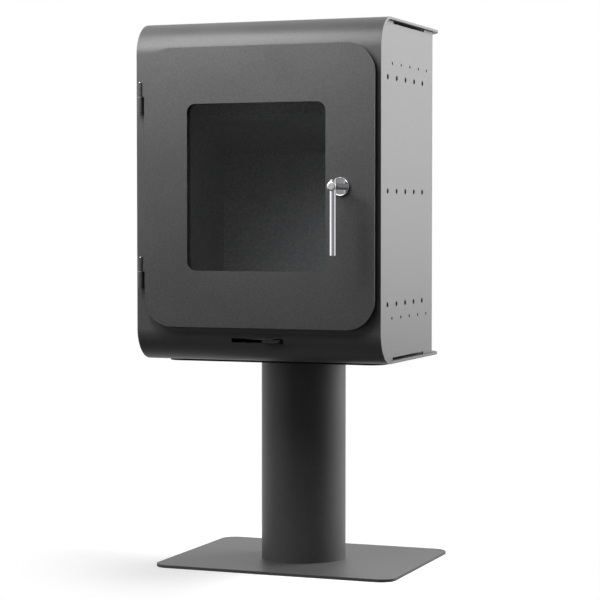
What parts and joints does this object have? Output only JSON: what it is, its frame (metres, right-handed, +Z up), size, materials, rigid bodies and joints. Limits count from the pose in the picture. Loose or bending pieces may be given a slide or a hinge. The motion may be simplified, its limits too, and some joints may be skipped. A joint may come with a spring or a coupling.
{
  "type": "wood burning stove",
  "caption": "Free-standing wood burning stove: bent steel body on a round column and floor plate, hinged glazed door with turning handle, air slide, rear flue outlet.",
  "frame": {"origin": "the column's axis at the underside of the floor plate, which is the middle of the floor plate", "axes": "+Z up, +Y to the rear, +X to the right of someone who faces the door; the door faces -Y"},
  "size_m": [0.495, 0.509, 1.06],
  "materials": {
    "stove_paint": "matt anthracite heat resistant paint on steel sheet",
    "black_paint": "matt black heat resistant paint on steel",
    "stainless": "polished stainless steel",
    "zinc_steel": "zinc plated steel",
    "cast_iron": "as cast iron, dark grey",
    "lining": "pressed vermiculite board, sooty grey",
    "glass": "flat heat resistant ceramic glass",
    "rope": "woven glass fibre rope and tape"
  },
  "bodies": {
    "stove_body": {"floor_plate": "stove_paint", "column": "stove_paint", "mounting_plate": "black_paint", "mounting_bolts": "zinc_steel", "mounting_nuts": "zinc_steel", "outer_wrap": "stove_paint", "left_side_panel": "stove_paint", "right_side_panel": "stove_paint", "rear_panel": "stove_paint", "firebox_shell": "black_paint", "support_legs": "black_paint", "grate_shelf": "black_paint", "floor_lining": "lining", "left_lining": "lining", "right_lining": "lining", "rear_lining": "lining", "baffle": "lining", "grate": "cast_iron", "ash_pan": "zinc_steel", "flue_spigot": "black_paint", "flue_bolts": "zinc_steel", "air_box": "black_paint", "slide_rails": "black_paint", "latch_keeper": "black_paint", "keeper_pin": "zinc_steel", "fixed_knuckles": "stove_paint", "hinge_pins": "stainless", "hinge_washers": "zinc_steel"},
    "door": {"door_plate": "stove_paint", "door_knuckles": "stove_paint", "rope_channel": "stove_paint", "door_rope": "rope", "glass_gasket": "rope", "door_glass": "glass", "glass_retainers": "zinc_steel", "glass_clips": "zinc_steel", "glass_bosses": "zinc_steel", "retainer_screws": "zinc_steel", "latch_bush": "zinc_steel", "handle_rosette": "stainless"},
    "handle": {"handle_stem": "stainless", "handle_bar": "stainless", "handle_screw": "stainless", "latch_tongue": "zinc_steel", "latch_nut": "zinc_steel"},
    "air_control": {"air_slide": "zinc_steel", "air_lever": "black_paint"}
  },
  "joints": [
    {"name": "door_hinge", "type": "hinge", "parent": "stove_body", "child": "door", "pos_m": [-0.23525, -0.2625, 0.744], "axis": [0, 0, -1], "range_deg": [0, 115]},
    {"name": "handle_turn", "type": "hinge", "parent": "door", "child": "handle", "pos_m": [0.174, -0.265, 0.744], "axis": [0, 1, 0], "range_deg": [0, 90]},
    {"name": "air_slide", "type": "slide", "parent": "stove_body", "child": "air_control", "axis": [-1, 0, 0], "range_m": [0, 0.066]}
  ]
}
